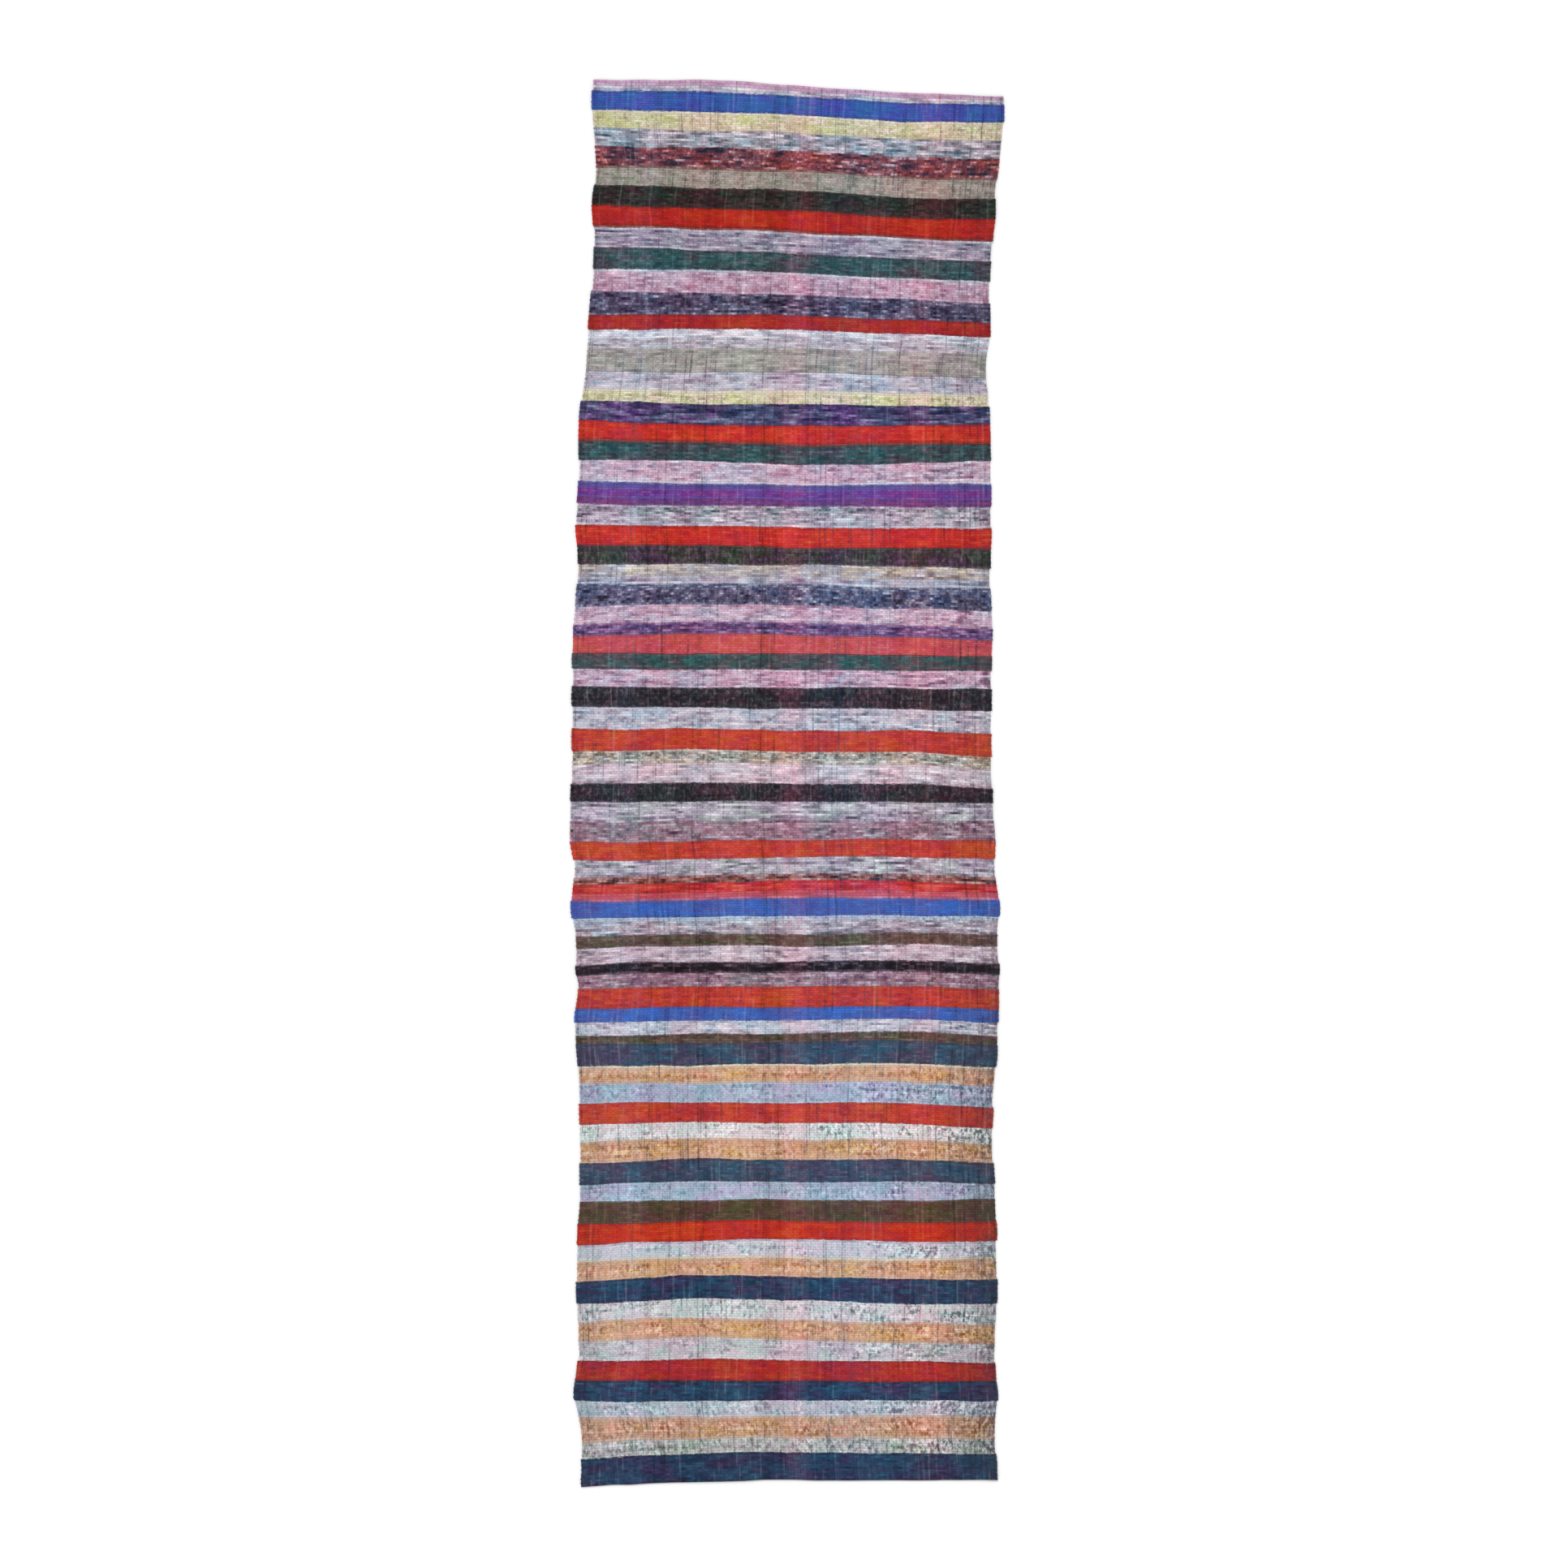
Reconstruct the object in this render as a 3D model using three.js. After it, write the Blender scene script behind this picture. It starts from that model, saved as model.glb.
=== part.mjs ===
import * as THREE from "three";

// Kilim runner: one long panel of plain-woven rag cloth, laid flat on the floor.
// Millimetres. X runs across the cloth and Y along it, with the rose-coloured end at +Y. Z is up from the floor.
// The panel is one solid. Its underside is flat, and its outline follows the uneven hand weaving:
// the selvedges wander by a few millimetres, and the picks bow, which slants both ends.

const CLOTH_LENGTH = 2660; // along the middle of the cloth, from end to end
const CLOTH_THICKNESS = 4; // one rag pick over and under the cotton warp
const HEM_THICKNESS = 5; // where an end is turned under and sewn down
const UPPER_HEM_DEPTH = 19; // the thin rose band that ends the cloth at +Y
const LOWER_HEM_DEPTH = 9; // the narrow turning on the navy end
const HEM_EASE = 4; // the slope from a hem's top to the cloth's top
const COLUMN_COUNT = 12; // columns of faces across the cloth
const ROW_SPACING = 20; // spacing of the cross lines between the hems

// The reach of each selvedge from the cloth's middle line, at a distance along the cloth from its upper end.
const SELVEDGES = [
  { along: 0, left: 372, right: 414 },
  { along: 60, left: 374, right: 411 },
  { along: 120, left: 369, right: 406 },
  { along: 184, left: 367, right: 396 },
  { along: 238, left: 374, right: 395 },
  { along: 300, left: 369, right: 388 },
  { along: 370, left: 372, right: 385 },
  { along: 455, left: 380, right: 386 },
  { along: 532, left: 386, right: 380 },
  { along: 610, left: 395, right: 385 },
  { along: 765, left: 400, right: 387 },
  { along: 842, left: 404, right: 388 },
  { along: 912, left: 400, right: 386 },
  { along: 1028, left: 410, right: 391 },
  { along: 1152, left: 411, right: 388 },
  { along: 1307, left: 412, right: 389 },
  { along: 1431, left: 415, right: 395 },
  { along: 1478, left: 408, right: 395 },
  { along: 1563, left: 413, right: 404 },
  { along: 1619, left: 405, right: 400 },
  { along: 1675, left: 405, right: 404 },
  { along: 1718, left: 400, right: 402 },
  { along: 1783, left: 406, right: 402 },
  { along: 1865, left: 400, right: 397 },
  { along: 1938, left: 398, right: 391 },
  { along: 2127, left: 398, right: 396 },
  { along: 2276, left: 404, right: 400 },
  { along: 2436, left: 400, right: 395 },
  { along: 2509, left: 407, right: 400 },
  { along: 2555, left: 397, right: 396 },
  { along: 2660, left: 393, right: 400 },
];

// The bow of the picks: how far a pick lies below its middle at the left selvedge, at the two places between
// the selvedges and the middle, and at the right selvedge.
const BOW_PLACES = [0, 0.29, 0.52, 0.78, 1]; // shares of the width from the left selvedge, the middle one level
const PICK_BOWS = [
  { along: 0, atLeft: -13, nearLeft: -11, nearRight: 13, atRight: 19 },
  { along: 130, atLeft: -9, nearLeft: -6, nearRight: 12, atRight: 15 },
  { along: 238, atLeft: -10, nearLeft: -6, nearRight: 13, atRight: 16 },
  { along: 370, atLeft: -9, nearLeft: -6, nearRight: 9, atRight: 13 },
  { along: 455, atLeft: -1, nearLeft: -2, nearRight: 8, atRight: 12 },
  { along: 610, atLeft: -4, nearLeft: -2, nearRight: 5, atRight: 5 },
  { along: 680, atLeft: -9, nearLeft: -5, nearRight: -2, atRight: -4 },
  { along: 842, atLeft: -7, nearLeft: -5, nearRight: 1, atRight: 3 },
  { along: 1000, atLeft: 3, nearLeft: 1, nearRight: 7, atRight: 12 },
  { along: 1152, atLeft: -4, nearLeft: 0, nearRight: 0, atRight: 1 },
  { along: 1280, atLeft: 0, nearLeft: -2, nearRight: 1, atRight: 10 },
  { along: 1431, atLeft: 4, nearLeft: 2, nearRight: 0, atRight: 0 },
  { along: 1478, atLeft: 8, nearLeft: 2, nearRight: 2, atRight: 7 },
  { along: 1619, atLeft: 7, nearLeft: 1, nearRight: -5, atRight: 1 },
  { along: 1865, atLeft: 5, nearLeft: 3, nearRight: -2, atRight: 6 },
  { along: 1938, atLeft: 1, nearLeft: 0, nearRight: -1, atRight: 7 },
  { along: 2050, atLeft: 10, nearLeft: 0, nearRight: 0, atRight: 9 },
  { along: 2127, atLeft: 5, nearLeft: 2, nearRight: 0, atRight: 0 },
  { along: 2200, atLeft: 10, nearLeft: 2, nearRight: 4, atRight: 2 },
  { along: 2354, atLeft: 6, nearLeft: -5, nearRight: 6, atRight: 8 },
  { along: 2555, atLeft: 0, nearLeft: 1, nearRight: 0, atRight: 0 },
  { along: 2608, atLeft: 14, nearLeft: 2, nearRight: 2, atRight: 4 },
  { along: 2660, atLeft: 14, nearLeft: 5, nearRight: 1, atRight: 1 },
];

// A smooth curve through one or more columns of a table, read at a distance along the cloth.
function smoothTable(rows, columns) {
  const places = rows.map((row) => row.along);
  const values = rows.flatMap((row) => columns.map((column) => row[column]));
  const curve = new THREE.CubicInterpolant(places, values, columns.length);
  return (along) => Array.from(curve.evaluate(along));
}

const selvedgesAt = smoothTable(SELVEDGES, ["left", "right"]);
const bowsAt = smoothTable(PICK_BOWS, ["atLeft", "nearLeft", "nearRight", "atRight"]);

// How far a pick lies below its own middle, at a share of the width from the left selvedge.
function pickDrop(along, across) {
  const [atLeft, nearLeft, nearRight, atRight] = bowsAt(along);
  const drops = [atLeft, nearLeft, 0, nearRight, atRight];
  const curve = new THREE.CubicInterpolant(BOW_PLACES, drops, 1);
  return curve.evaluate(across)[0];
}

// The cloth's thickness, which eases up to each hem.
function thicknessAt(along) {
  const fromUpperEnd = along - UPPER_HEM_DEPTH;
  const fromLowerEnd = CLOTH_LENGTH - along - LOWER_HEM_DEPTH;
  const fromHem = Math.min(fromUpperEnd, fromLowerEnd);
  const flatness = THREE.MathUtils.clamp(fromHem / HEM_EASE, 0, 1);
  return THREE.MathUtils.lerp(HEM_THICKNESS, CLOTH_THICKNESS, flatness);
}

// The cross lines of the solid: both edges of each hem, and even steps between the hems.
function crossLines() {
  const upperHem = [0, UPPER_HEM_DEPTH, UPPER_HEM_DEPTH + HEM_EASE];
  const lowerHem = [LOWER_HEM_DEPTH + HEM_EASE, LOWER_HEM_DEPTH, 0].map((depth) => CLOTH_LENGTH - depth);
  const start = upperHem.at(-1);
  const span = lowerHem[0] - start;
  const steps = Math.round(span / ROW_SPACING);
  const between = Array.from({ length: steps - 1 }, (_, i) => start + (span * (i + 1)) / steps);
  return [...upperHem, ...between, ...lowerHem];
}

// The whole cloth: a thin box of many faces, whose points are moved to the outline, the bow and the thickness.
function wovenPanel() {
  const lines = crossLines();
  const rowCount = lines.length - 1;
  const geometry = new THREE.BoxGeometry(1, 1, 1, COLUMN_COUNT, rowCount, 1);
  const points = geometry.attributes.position;
  for (let i = 0; i < points.count; i += 1) {
    const across = points.getX(i) + 0.5;
    const along = lines[Math.round((0.5 - points.getY(i)) * rowCount)];
    const [left, right] = selvedgesAt(along);
    const x = THREE.MathUtils.lerp(-left, right, across);
    const y = -along - pickDrop(along, across);
    const z = points.getZ(i) > 0 ? thicknessAt(along) : 0;
    points.setXYZ(i, x, y, z);
  }
  geometry.computeVertexNormals();
  return geometry;
}

// Moves the panel so that its box is centred over the origin, with the underside on the floor.
function centreOnFloor(geometry) {
  geometry.computeBoundingBox();
  const middle = geometry.boundingBox.getCenter(new THREE.Vector3());
  geometry.translate(-middle.x, -middle.y, 0);
  return geometry;
}

const ragWeave = new THREE.MeshStandardMaterial({ color: 0x9a7f86, roughness: 0.95, metalness: 0 });
const clothPanel = new THREE.Mesh(centreOnFloor(wovenPanel()), ragWeave);
clothPanel.name = "woven_cloth";

const runner = new THREE.Group();
runner.add(clothPanel);

export default runner;
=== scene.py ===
"""Kilim runner of plain-woven rag cloth, laid flat on a pale floor.

The scene is in metres and in the frame of the CAD: X across the cloth, Y along it with the rose-coloured
end at +Y, and Z up. The cloth's tables and sizes are in millimetres. Its selvedges are those of the CAD
source, and the bows of its picks are given at more places than there.
"""

import math

import bpy
import numpy as np
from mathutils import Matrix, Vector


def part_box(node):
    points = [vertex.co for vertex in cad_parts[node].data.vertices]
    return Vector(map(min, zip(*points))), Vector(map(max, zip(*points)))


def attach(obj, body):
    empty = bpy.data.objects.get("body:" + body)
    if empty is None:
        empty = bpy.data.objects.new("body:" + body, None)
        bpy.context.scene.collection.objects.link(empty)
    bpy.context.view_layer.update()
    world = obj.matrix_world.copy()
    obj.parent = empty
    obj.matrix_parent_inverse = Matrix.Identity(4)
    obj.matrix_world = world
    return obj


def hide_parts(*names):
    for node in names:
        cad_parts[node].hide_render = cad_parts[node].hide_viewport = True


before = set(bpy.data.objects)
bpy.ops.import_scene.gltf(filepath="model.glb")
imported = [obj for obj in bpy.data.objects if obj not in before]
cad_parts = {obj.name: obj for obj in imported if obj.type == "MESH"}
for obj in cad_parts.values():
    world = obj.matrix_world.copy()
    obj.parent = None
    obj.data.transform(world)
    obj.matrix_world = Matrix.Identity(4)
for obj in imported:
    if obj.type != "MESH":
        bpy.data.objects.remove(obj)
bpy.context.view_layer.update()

MM = 0.001

# The reach of each selvedge from the cloth's middle line: (along from the upper end, left, right).
SELVEDGES = [
    (0, 372, 414), (60, 374, 411), (120, 369, 406), (184, 367, 396), (238, 374, 395),
    (300, 369, 388), (370, 372, 385), (455, 380, 386), (532, 386, 380), (610, 395, 385),
    (765, 400, 387), (842, 404, 388), (912, 400, 386), (1028, 410, 391), (1152, 411, 388),
    (1307, 412, 389), (1431, 415, 395), (1478, 408, 395), (1563, 413, 404), (1619, 405, 400),
    (1675, 405, 404), (1718, 400, 402), (1783, 406, 402), (1865, 400, 397), (1938, 398, 391),
    (2127, 398, 396), (2276, 404, 400), (2436, 400, 395), (2509, 407, 400), (2555, 397, 396),
    (2660, 393, 400),
]

# The bow of the picks: how far a pick lies below its middle, at these shares of the width from the left.
BOW_PLACES = [0, 0.29, 0.52, 0.78, 1]
# (along from the upper end, the five drops)
PICK_BOWS = [
    (0, -13, -11, 0, 13, 19), (20, -13, -8, 0, 13, 15), (60, -12, -7, 0, 13, 12),
    (95, -11, -6, 0, 12, 14), (130, -10, -6, 0, 13, 15), (195, -10, -5, 0, 12, 16),
    (260, -11, -6, 0, 12, 18), (324, -11, -7, 0, 9, 17), (389, -9, -5, 0, 7, 14),
    (454, -1, -1, 0, 7, 13), (519, -1, 0, 0, 7, 11), (584, -4, 0, 0, 6, 8),
    (649, -9, -2, 0, 1, 0), (714, -9, -4, 0, -2, -4), (779, -7, -3, 0, -1, -1),
    (843, -5, -3, 0, 1, 2), (908, -2, -2, 0, 4, 6), (973, 3, -1, 0, 8, 11),
    (1038, 2, 0, 0, 6, 11), (1103, -2, 0, 0, 1, 5), (1168, -4, -2, 0, -1, 4),
    (1233, -1, -2, 0, 1, 10), (1298, 2, -2, 0, 2, 12), (1362, 2, -1, 0, 1, 6),
    (1427, 5, 3, 0, 0, 1), (1492, 8, 3, 0, 2, 8), (1557, 7, 2, 0, 0, 3),
    (1622, 6, -1, 0, -4, 0), (1687, 5, -2, 0, -3, 2), (1752, 5, 0, 0, -2, 4),
    (1817, 4, 2, 0, -2, 5), (1881, 2, 1, 0, -1, 6), (1946, 0, -2, 0, 0, 8),
    (2011, 6, -1, 0, 1, 10), (2076, 8, 0, 0, 2, 6), (2141, 6, 1, 0, 1, -1),
    (2206, 10, 1, 0, 5, 2), (2271, 8, -2, 0, 6, 4), (2336, 5, -4, 0, 6, 8),
    (2400, 4, -4, 0, 4, 7), (2465, 0, -1, 0, 1, 2), (2530, 0, 1, 0, -1, -1),
    (2595, 13, 1, 0, 2, 3), (2660, 14, 5, 0, 1, 1),
]

CLOTH_LENGTH = 2660  # along the middle
MEAN_WIDTH = 790
UPPER_HEM_DEPTH = 19
LOWER_HEM_DEPTH = 9
HEM_EASE = 4  # the slope from a hem's top to the cloth's top

WARP_COUNT = 160
PICK_SPACING = 4.4

# The cloth's section. The upper and the under face each have their own middle, a little apart.
UPPER_MIDDLE, UNDER_MIDDLE = 2.1, 2.05  # over the floor
UPPER_CROWN, UNDER_CROWN = 2.1, 2.0  # from its middle to the face, along the middle of a pick
SADDLE = 0.75  # the same between two picks
HEM_RISE = 0.45  # what a turned hem adds to the upper middle and to the upper ribs
SELVEDGE_ROUNDING = 4.5
END_ROUNDING = 4.0

# The lumps in the rags and in the cloth, and how much of them shows in a crown, a saddle and the middle
RAG_LUMP, CLOTH_LUMP = 0.32, 0.2
CROWN_SHARE, SADDLE_SHARE, MIDDLE_SHARE = 0.5, 0.2, 0.25

# How the picks waver along the cloth: (seed, reach, step along the cloth, step across it).
PICK_WAVERS = [(3, 1.9, 40, 110), (4, 1.0, 16, 50), (5, 0.45, PICK_SPACING, 30)]

# The cockling of the edges, while the middle stays down on the floor: how high, and from how far in
SELVEDGE_LIFT = 1.5
SELVEDGE_LIFT_DEPTH = 70
END_LIFT = 1.3
END_LIFT_DEPTH = 45

# How far a stripe stands out at the selvedges. Thick firm rags stand out, and thin pale ones draw in.
FIRM, EVEN, SLACK = 1.7, 0.3, -1.2
REACH_FADE = 30  # the distance from the selvedge over which this fades
# The turns of the rags round the last warp, beyond that
TURN_OUT = 0.45  # where the pick turns back on this side
TURN_PASSED = -0.35  # where it turns on the other side
TURN_GAP = -0.75  # between two picks
TURN_SPREAD = 0.45
TURN_FADE = 3

# The stripes from the rose end down, in five woven lengths: (rag, depth along the cloth).
# Each length is a piece of its own, so that its ribs can be modelled and not only painted.
STRIPES = [
    [
        ("rose", 10), ("lilac_heather", 10), ("royal_blue", 36), ("cream", 5), ("pale_yellow", 29),
        ("blue_grey_heather", 34), ("maroon_print", 37), ("clay", 4), ("taupe", 35), ("brown_black", 38),
        ("deep_red", 38), ("brick", 4), ("lilac_white", 5), ("mauve_heather", 34), ("teal", 39),
        ("lilac_white", 5), ("pink_mottle", 37), ("navy_speckle", 38), ("crimson", 27), ("pearl_white", 16),
        ("pearl_heather", 20), ("greige", 45),
    ],
    [
        ("lilac_heather", 34), ("cream", 5), ("butter", 21), ("violet_navy", 41), ("scarlet", 35),
        ("brick", 4), ("teal", 35), ("pink_heather", 36), ("lilac_white", 5), ("indigo", 9), ("violet", 19),
        ("purple", 13), ("ash_heather", 35), ("lilac_white", 5), ("scarlet", 37), ("olive_black", 34),
        ("oat_heather", 22), ("lilac_heather", 14), ("denim", 7), ("denim_speckle", 33),
        ("pink_heather", 34), ("plum", 23), ("coral_red", 37),
    ],
    [
        ("slate_teal", 30), ("pink_heather", 35), ("black", 40), ("lilac_white", 4), ("sky_heather", 36),
        ("vermilion", 40), ("oat_speckle", 25), ("pink_white", 37), ("black", 34), ("grey_heather", 37),
        ("dusky_mauve", 36), ("vermilion", 33), ("grey_heather", 32), ("brown_speckle", 14),
        ("rose_red", 18), ("rose_pink", 10), ("rose_lilac", 6), ("cornflower", 33),
    ],
    [
        ("pale_blue", 9), ("dove_heather", 26), ("umber", 23), ("blush_heather", 30), ("ink_black", 21),
        ("dusky_mauve", 27), ("vermilion", 38), ("cornflower", 25), ("sky_heather", 25), ("umber", 17),
        ("slate_navy", 42), ("cream", 4), ("peach", 31), ("pale_blue", 40), ("vermilion", 38),
        ("white_fleck", 30), ("peach", 38), ("slate_navy", 42), ("pale_blue", 36),
    ],
    [
        ("olive_brown", 40), ("rust_red", 36), ("lilac_white", 4), ("sky_white", 27), ("cream", 4),
        ("peach", 36), ("navy", 45), ("pearl_fleck", 37), ("peach", 39), ("silver_heather", 39),
        ("crimson", 39), ("navy", 38), ("grey_fleck", 29), ("dusky_peach", 41), ("sage_fleck", 27),
        ("deep_navy", 53),
    ],
]

COLUMN_COUNT = 184
SELVEDGE_COLUMNS = [0, 0.8, 2, 3.6, 6]  # the closer columns that round off a selvedge


def curve_through(places, values, at):
    """The smooth curve of the CAD source: through values at places, read at each place of at."""
    places, values = np.array(places, float), np.array(values, float)
    start = np.clip(np.searchsorted(places, at, side="right") - 1, 0, len(places) - 2)
    end = start + 1
    before = np.where(start > 0, start - 1, end)
    after = np.where(end < len(places) - 1, end + 1, start)
    span = places[end] - places[start]
    weight_before = span / 2 / (places[start] - places[before])
    weight_after = span / 2 / (places[after] - places[end])
    p = (at - places[start]) / span
    share_before = -weight_before * (p**3 - 2 * p**2 + p)
    share_start = (1 + weight_before) * p**3 - (1.5 + 2 * weight_before) * p**2
    share_start = share_start + (weight_before - 0.5) * p + 1
    share_end = -(1 + weight_after) * p**3 + (1.5 + weight_after) * p**2 + 0.5 * p
    share_after = weight_after * (p**3 - p**2)
    shares = [share_before, share_start, share_end, share_after]
    points = [values[before], values[start], values[end], values[after]]
    return sum(share[:, None] * point.reshape(len(at), -1) for share, point in zip(shares, points))


def ease(t):
    """A soft step from 0 to 1."""
    t = np.clip(t, 0, 1)
    return t * t * (3 - 2 * t)


def wander(seed, down, across, step_down, step_across):
    """A soft random field from -1 to 1 over rows at down and columns at across."""
    rows, columns = down / step_down, across / step_across
    knots = np.random.default_rng(seed).uniform(-1, 1, (int(rows.max()) + 2, int(columns.max()) + 2))
    row, column = rows.astype(int), columns.astype(int)
    part_down, part_across = ease(rows - row)[:, None], ease(columns - column)[None, :]
    upper = knots[row][:, column] * (1 - part_across) + knots[row][:, column + 1] * part_across
    lower = knots[row + 1][:, column] * (1 - part_across) + knots[row + 1][:, column + 1] * part_across
    return upper * (1 - part_down) + lower * part_down


def stripe_rows():
    """Each stripe with its length, rag, first pick, number of picks and place along the cloth."""
    rows, along, pick = [], 0.0, 0
    scale = CLOTH_LENGTH / sum(depth for length in STRIPES for _, depth in length)
    for length, stripes in enumerate(STRIPES):
        for rag, depth in stripes:
            picks = max(1, round(depth / PICK_SPACING))
            rows.append({"length": length, "rag": rag, "pick": pick, "picks": picks, "along": along})
            along += depth * scale
            pick += picks
    return rows, pick


def column_shares():
    """The columns as shares of the width, closer together at the selvedges."""
    edge = np.array(SELVEDGE_COLUMNS) / MEAN_WIDTH
    inner = np.linspace(edge[-1], 1 - edge[-1], COLUMN_COUNT + 1 - 2 * (len(edge) - 1))
    return np.concatenate([edge[:-1], inner, 1 - edge[-2::-1]])


def plain_places(along, share):
    """Where a cloth with steady picks would lie, and how far its points are from either selvedge."""
    left, right = curve_through([r[0] for r in SELVEDGES], [r[1:] for r in SELVEDGES], along).T
    bows = curve_through([r[0] for r in PICK_BOWS], [r[1:] for r in PICK_BOWS], along)
    drop_shares = curve_through(BOW_PLACES, np.eye(len(BOW_PLACES)), share)
    x = -left[:, None] + (left + right)[:, None] * share[None, :]
    y = -along[:, None] - bows @ drop_shares.T
    return x, y, x + left[:, None], right[:, None] - x


def shift_to_cad(x, y):
    """How far the cloth moves, across and along, to lie in the middle of the CAD's panel."""
    low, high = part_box("woven_cloth")
    shift_x = ((low.x + high.x) / MM - x.min() - x.max()) / 2
    shift_y = ((low.y + high.y) / MM - y.min() - y.max()) / 2
    return shift_x, shift_y


def turned_selvedges(x, stripes, pick_at, along, from_left, from_right):
    """Each rag turns round the last warp, alternately on the left and on the right."""
    pick_count = int(pick_at[-1])
    pick = np.minimum(pick_at.astype(int), pick_count - 1)
    reach = np.zeros(len(pick_at))
    for s in stripes:
        inside = (pick_at >= s["pick"]) & (pick_at <= s["pick"] + s["picks"])
        reach[inside] = reach_of[s["rag"]]
    rng = np.random.default_rng(11)
    for side, sign, distance in ((0, -1, from_left), (1, 1, from_right)):
        turn = np.where((pick + side) % 2 == 0, TURN_OUT, TURN_PASSED)
        turn = turn + rng.uniform(-TURN_SPREAD, TURN_SPREAD, pick_count)[pick]
        turn = np.where(pick_at % 1 == 0.5, turn, TURN_GAP)
        drawn = wander(17 + side, along, np.zeros(1), step_down=26, step_across=1)[:, 0]
        turns = turn[:, None] * np.exp(-distance / TURN_FADE)
        x = x + sign * (turns + (reach + drawn)[:, None] * np.exp(-distance / REACH_FADE))
    return x


def rounded(distance, radius, least):
    """The share of its thickness that the cloth keeps near an edge, from the root of least upwards."""
    return np.sqrt(np.clip(1 - (1 - distance / radius).clip(0, 1) ** 2, least, 1))


def edge_lift(along, place, from_edge, from_end):
    """The slight cockling of the selvedges and the ends."""
    sides = 0.5 + 0.5 * wander(31, along, place, step_down=95, step_across=400)
    ends = 0.5 + 0.5 * wander(37, along, place, step_down=400, step_across=130)
    sides = sides * ease(1 - from_edge / SELVEDGE_LIFT_DEPTH)
    ends = ends * ease(1 - from_end / END_LIFT_DEPTH)
    return SELVEDGE_LIFT * sides**2 + END_LIFT * ends**2


def cloth_form(stripes, pick_count):
    """The upper and under points of the whole cloth, a row at each pick's edge and at its middle."""
    share = column_shares()
    place = share * MEAN_WIDTH
    pick_at = np.arange(0, pick_count + 0.5, 0.5)
    pick = np.minimum(pick_at.astype(int), pick_count - 1)
    middle_row = (pick_at % 1 == 0.5)[:, None]
    starts = [s["pick"] for s in stripes] + [pick_count]
    alongs = [s["along"] for s in stripes] + [CLOTH_LENGTH]
    along = np.interp(pick_at, starts, alongs)
    x, y, from_left, from_right = plain_places(along, share)
    shift_x, shift_y = shift_to_cad(x, y)

    x = turned_selvedges(x, stripes, pick_at, along, from_left, from_right) + shift_x
    for seed, reach, step_down, step_across in PICK_WAVERS:
        y = y + reach * wander(seed, along, place, step_down, step_across)
    y = y + shift_y

    # the thickness on either side of the middle: ribs, lumps in the rags, and the turned hems
    lump = RAG_LUMP * wander(23, pick.astype(float), place, step_down=1, step_across=17)
    lump = lump + CLOTH_LUMP * wander(29, along, place, step_down=30, step_across=60)
    upper_hem = ease(1 - (along - UPPER_HEM_DEPTH) / HEM_EASE)
    lower_hem = ease(1 - (CLOTH_LENGTH - along - LOWER_HEM_DEPTH) / HEM_EASE)
    hem_rise = HEM_RISE * (upper_hem + lower_hem)[:, None]
    from_edge = np.minimum(from_left, from_right)
    from_end = np.minimum(along, CLOTH_LENGTH - along)[:, None]
    edge_round = rounded(from_edge, SELVEDGE_ROUNDING, least=0.06)
    end_round = rounded(from_end, END_ROUNDING, least=0.08)
    rib = np.where(middle_row, UPPER_CROWN + CROWN_SHARE * lump, SADDLE + SADDLE_SHARE * lump)
    upper_half = (rib + hem_rise) * edge_round * end_round
    under_half = np.where(middle_row, UNDER_CROWN, SADDLE) * edge_round * end_round

    lift = edge_lift(along, place, from_edge, from_end)
    upper = UPPER_MIDDLE + hem_rise + lift + upper_half + MIDDLE_SHARE * lump
    under = UNDER_MIDDLE + lift - under_half
    return {
        "upper": np.stack([x, y, upper], axis=-1) * MM,
        "under": np.stack([x, y, under], axis=-1) * MM,
        "pick_at": pick_at,
        "share": share,
    }


def wire(tree, socket, value):
    """Links an output to a socket, or sets the socket to a plain value."""
    if isinstance(value, bpy.types.NodeSocket):
        tree.links.new(value, socket)
    else:
        socket.default_value = value


def maths(tree, operation, *values, clamp=False):
    """One step of arithmetic."""
    node = tree.nodes.new("ShaderNodeMath")
    node.operation = operation
    node.use_clamp = clamp
    for socket, value in zip(node.inputs, values):
        wire(tree, socket, value)
    return node.outputs[0]


def product(tree, *values):
    """The values multiplied, from the first to the last."""
    result = values[0]
    for value in values[1:]:
        result = maths(tree, "MULTIPLY", result, value)
    return result


def centred(tree, value):
    """A noise turned from 0 to 1 into -0.5 to 0.5."""
    return maths(tree, "SUBTRACT", value, 0.5)


def scaled_onto(tree, value, scale, base):
    """The value times the scale, added to the base."""
    return maths(tree, "MULTIPLY_ADD", value, scale, base)


def eased(tree, value, start, end, low=0.0, high=1.0):
    """A soft step from low to high while the value goes from start to end."""
    node = tree.nodes.new("ShaderNodeMapRange")
    node.interpolation_type = "SMOOTHSTEP"
    settings = {"Value": value, "From Min": start, "From Max": end, "To Min": low, "To Max": high}
    for name, setting in settings.items():
        wire(tree, node.inputs[name], setting)
    return node.outputs["Result"]


def point_of(tree, x, y, z=0.0):
    """Three values as one point or colour."""
    node = tree.nodes.new("ShaderNodeCombineXYZ")
    for socket, value in zip(node.inputs, (x, y, z)):
        wire(tree, socket, value)
    return node.outputs[0]


def noise(tree, across, across_scale, down, down_scale, detail=2.0, roughness=0.5):
    """Soft noise over the cloth. The smaller a scale, the longer its shapes are that way."""
    node = tree.nodes.new("ShaderNodeTexNoise")
    node.noise_dimensions = "2D"
    point = point_of(tree, product(tree, across, across_scale), product(tree, down, down_scale))
    wire(tree, node.inputs["Vector"], point)
    node.inputs["Scale"].default_value = 1.0
    node.inputs["Detail"].default_value = detail
    node.inputs["Roughness"].default_value = roughness
    return node.outputs[0]


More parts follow.
